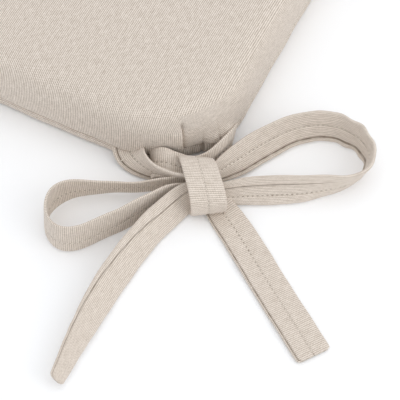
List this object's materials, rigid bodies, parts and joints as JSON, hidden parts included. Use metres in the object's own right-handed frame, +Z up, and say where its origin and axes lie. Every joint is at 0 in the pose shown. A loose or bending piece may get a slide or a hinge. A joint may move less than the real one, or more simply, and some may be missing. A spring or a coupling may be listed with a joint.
{
  "type": "seat cushion",
  "caption": "Square foam seat cushion in ribbed cotton canvas with a zipped cover and cloth tie bows at its rear corners.",
  "frame": {"origin": "middle of the flat underside, on the surface that the cushion rests on", "axes": "+Z up, -Y towards the front of the seat, +Y towards the rear edge whose two corners carry the ties, X from side to side"},
  "size_m": [0.719, 0.632, 0.05],
  "materials": {
    "cover_cloth": "ribbed undyed cotton canvas",
    "tie_cloth": "folded and stitched strap of the same canvas",
    "thread": "cotton sewing thread",
    "foam": "open-cell cushion foam",
    "wadding": "white polyester wadding",
    "zip_tape": "woven tape",
    "zip_coil": "moulded nylon coil",
    "zip_metal": "nickel-plated zip parts"
  },
  "bodies": {
    "cushion": {"foam_core": "foam", "left_tie_knot": "tie_cloth", "left_tie_rear_lead": "tie_cloth", "left_tie_rear_loop": "tie_cloth", "left_tie_rear_tack": "thread", "left_tie_rear_tail": "tie_cloth", "left_tie_side_lead": "tie_cloth", "left_tie_side_loop": "tie_cloth", "left_tie_side_tack": "thread", "left_tie_side_tail": "tie_cloth", "right_tie_knot": "tie_cloth", "right_tie_rear_lead": "tie_cloth", "right_tie_rear_loop": "tie_cloth", "right_tie_rear_tack": "thread", "right_tie_rear_tail": "tie_cloth", "right_tie_side_lead": "tie_cloth", "right_tie_side_loop": "tie_cloth", "right_tie_side_tack": "thread", "right_tie_side_tail": "tie_cloth", "top_cover": "cover_cloth", "underside_front_panel": "cover_cloth", "underside_rear_panel": "cover_cloth", "wadding_bottom": "wadding", "wadding_top": "wadding", "zip_bottom_stop": "zip_metal", "zip_coil_front": "zip_coil", "zip_coil_rear": "zip_coil", "zip_end_tab_left": "cover_cloth", "zip_end_tab_right": "cover_cloth", "zip_stitching": "thread", "zip_tape_front": "zip_tape", "zip_tape_rear": "zip_tape", "zip_top_stops": "zip_metal"},
    "zip_slider": {"zip_slider": "zip_metal"},
    "zip_pull_tab": {"zip_pull_tab": "zip_metal"}
  },
  "joints": [
    {"name": "zip_slide", "type": "slide", "parent": "cushion", "child": "zip_slider", "axis": [-1, 0, 0], "range_m": [0, 0.348]},
    {"name": "pull_tab_hinge", "type": "hinge", "parent": "zip_slider", "child": "zip_pull_tab", "pos_m": [0.1741, 0.165, 0.0021], "axis": [0, -1, 0], "range_deg": [0, 150]}
  ]
}
